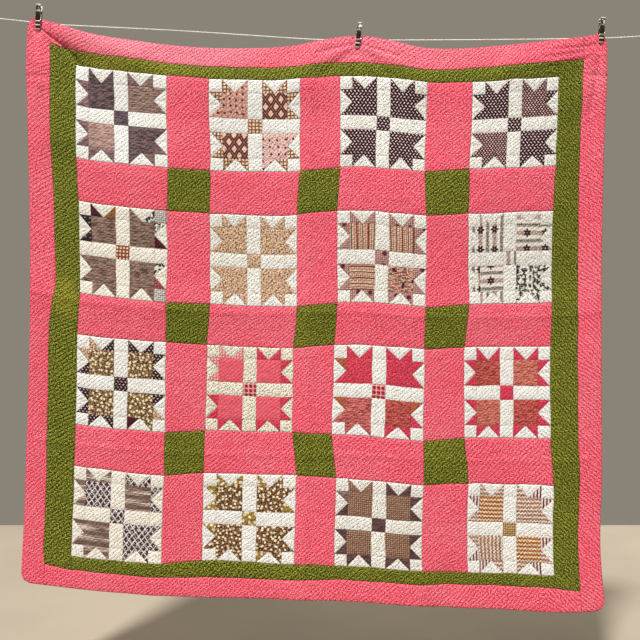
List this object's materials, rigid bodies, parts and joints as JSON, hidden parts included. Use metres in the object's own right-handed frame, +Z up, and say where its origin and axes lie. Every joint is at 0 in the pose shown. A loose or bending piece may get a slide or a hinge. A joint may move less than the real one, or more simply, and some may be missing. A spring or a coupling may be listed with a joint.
{
  "type": "bear paw quilt on a clothes line",
  "caption": "Patchwork bear paw quilt hung nearly flat from a taut clothes line by wooden spring pegs, for display or drying.",
  "frame": {"origin": "on the axis of the clothes line, over the middle of its length", "axes": "+X along the line to the viewer's right, +Y away from the viewer behind the quilt, +Z up"},
  "size_m": [2.0877, 0.0317, 1.8392],
  "materials": {
    "quilt_cotton": "quilted cotton patchwork, matt",
    "peg_wood": "weathered, bare",
    "spring_wire": "galvanised wire",
    "line_cord": "twisted white cord"
  },
  "bodies": {
    "root": {"quilt": "quilt_cotton", "clothes_line": "line_cord", "line_loop_left": "line_cord", "line_loop_right": "line_cord", "peg_left_front": "peg_wood", "peg_left_back": "peg_wood", "peg_left_spring": "spring_wire", "peg_middle_front": "peg_wood", "peg_middle_back": "peg_wood", "peg_middle_spring": "spring_wire", "peg_right_front": "peg_wood", "peg_right_back": "peg_wood", "peg_right_spring": "spring_wire"}
  },
  "joints": []
}
